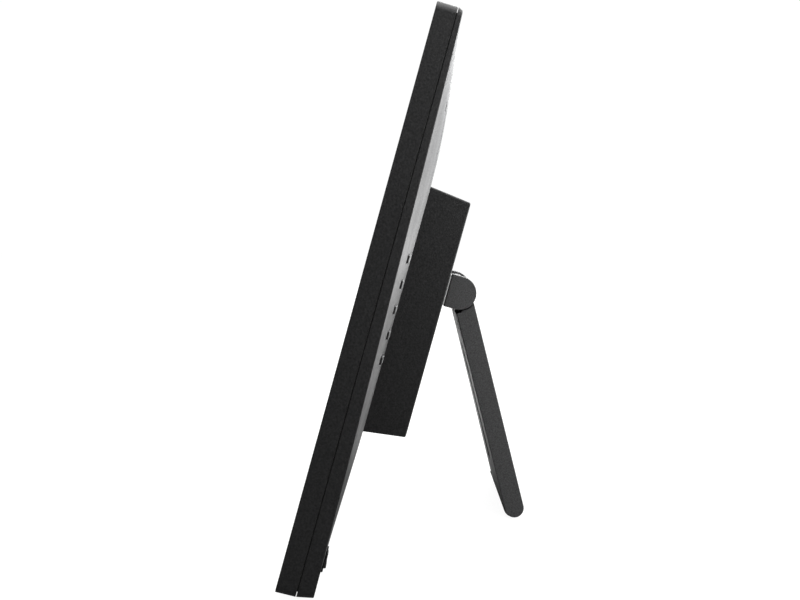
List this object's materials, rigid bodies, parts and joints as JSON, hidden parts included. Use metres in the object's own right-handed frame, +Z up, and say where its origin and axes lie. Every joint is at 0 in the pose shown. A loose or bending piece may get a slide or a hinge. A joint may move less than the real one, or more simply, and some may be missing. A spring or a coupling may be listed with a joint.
{
  "type": "digital photo frame",
  "caption": "Large black digital photo frame with a domed back, a central electronics housing, push buttons and a power rocker, leaning back on a hinged folding leg.",
  "frame": {"origin": "middle of the whole object's box, on the surface it stands on", "axes": "+X along the width, to the left as seen from the front; +Y from the screen to the back; +Z up"},
  "size_m": [0.486, 0.1434, 0.3005],
  "materials": {
    "bezel_moulding": "fine spark-eroded texture, black",
    "back_moulding": "fine spark-eroded texture, black",
    "housing_moulding": "fine spark-eroded texture, black",
    "leg_moulding": "fine texture, charcoal",
    "hinge_moulding": "fine texture, charcoal",
    "foot_rubber": "matt black",
    "button_plastic": "satin black",
    "rocker_plastic": "satin black",
    "connector_plastic": "moulded black",
    "speaker_body": "moulded black with a paper cone",
    "screen": "dark anti-glare polariser",
    "panel_metal": "zinc plated sheet",
    "light_film": "translucent white",
    "circuit_board": "green solder mask",
    "cast_alloy": "plain",
    "pressed_steel": "plain",
    "bright_screw": "nickel plated",
    "black_screw": "blackened",
    "ribbon": "pale flat cable"
  },
  "bodies": {
    "frame": {"front_bezel": "bezel_moulding", "panel_frame": "panel_metal", "lcd_glass": "screen", "diffuser_film": "light_film", "light_bar": "light_film", "light_guide": "light_film", "panel_tray": "panel_metal", "panel_driver_board": "circuit_board", "panel_bracket_left": "panel_metal", "panel_bracket_right": "panel_metal", "rear_cover": "back_moulding", "housing_cover": "housing_moulding", "main_board": "circuit_board", "board_screw_1": "bright_screw", "board_screw_2": "bright_screw", "board_screw_3": "bright_screw", "board_screw_4": "bright_screw", "processor_heatsink": "cast_alloy", "clock_battery": "pressed_steel", "dc_inlet": "connector_plastic", "usb_port": "connector_plastic", "card_slot": "connector_plastic", "audio_jack": "connector_plastic", "speaker_left": "speaker_body", "speaker_right": "speaker_body", "button_board": "circuit_board", "rocker_frame": "connector_plastic", "hinge_plate": "pressed_steel", "hinge_ear_left": "hinge_moulding", "friction_washer_left": "pressed_steel", "hinge_screw_left_1": "bright_screw", "hinge_screw_left_2": "bright_screw", "hinge_ear_right": "hinge_moulding", "friction_washer_right": "pressed_steel", "hinge_screw_right_1": "bright_screw", "hinge_screw_right_2": "bright_screw", "hinge_pin": "pressed_steel", "frame_foot_left": "foot_rubber", "frame_foot_right": "foot_rubber", "housing_screw_1": "black_screw", "housing_screw_2": "black_screw", "housing_screw_3": "black_screw", "housing_screw_4": "black_screw", "cover_screw_1": "black_screw", "cover_screw_2": "black_screw", "cover_screw_3": "black_screw", "cover_screw_4": "black_screw", "screen_cable": "ribbon", "button_cable": "ribbon"},
    "leg": {"leg": "leg_moulding", "leg_knuckle": "hinge_moulding", "leg_foot_pad": "foot_rubber", "leg_screw_1": "black_screw", "leg_screw_2": "black_screw"},
    "push_button_1": {"button_1": "button_plastic"},
    "push_button_2": {"button_2": "button_plastic"},
    "push_button_3": {"button_3": "button_plastic"},
    "push_button_4": {"button_4": "button_plastic"},
    "push_button_5": {"button_5": "button_plastic"},
    "rocker": {"power_rocker": "rocker_plastic"}
  },
  "joints": [
    {"name": "leg_fold", "type": "hinge", "parent": "frame", "child": "leg", "pos_m": [0, 0.03029, 0.14559], "axis": [1, 0, 0], "range_deg": [-29.2, 0]},
    {"name": "press_1", "type": "slide", "parent": "frame", "child": "push_button_1", "axis": [-0.066, -0.9617, 0.266], "range_m": [0, 0.0006], "stiffness_N_per_m": 500, "springref_m": -0.0006},
    {"name": "press_2", "type": "slide", "parent": "frame", "child": "push_button_2", "axis": [-0.0632, -0.9619, 0.266], "range_m": [0, 0.0006], "stiffness_N_per_m": 500, "springref_m": -0.0006},
    {"name": "press_3", "type": "slide", "parent": "frame", "child": "push_button_3", "axis": [-0.0604, -0.9621, 0.2661], "range_m": [0, 0.0006], "stiffness_N_per_m": 500, "springref_m": -0.0006},
    {"name": "press_4", "type": "slide", "parent": "frame", "child": "push_button_4", "axis": [-0.0576, -0.9622, 0.2661], "range_m": [0, 0.0006], "stiffness_N_per_m": 500, "springref_m": -0.0006},
    {"name": "press_5", "type": "slide", "parent": "frame", "child": "push_button_5", "axis": [-0.0549, -0.9624, 0.2662], "range_m": [0, 0.0006], "stiffness_N_per_m": 500, "springref_m": -0.0006},
    {"name": "power_rock", "type": "hinge", "parent": "frame", "child": "rocker", "pos_m": [0.215, -0.05043, 0.01633], "axis": [-1, 0, 0], "range_deg": [0, 10]}
  ]
}
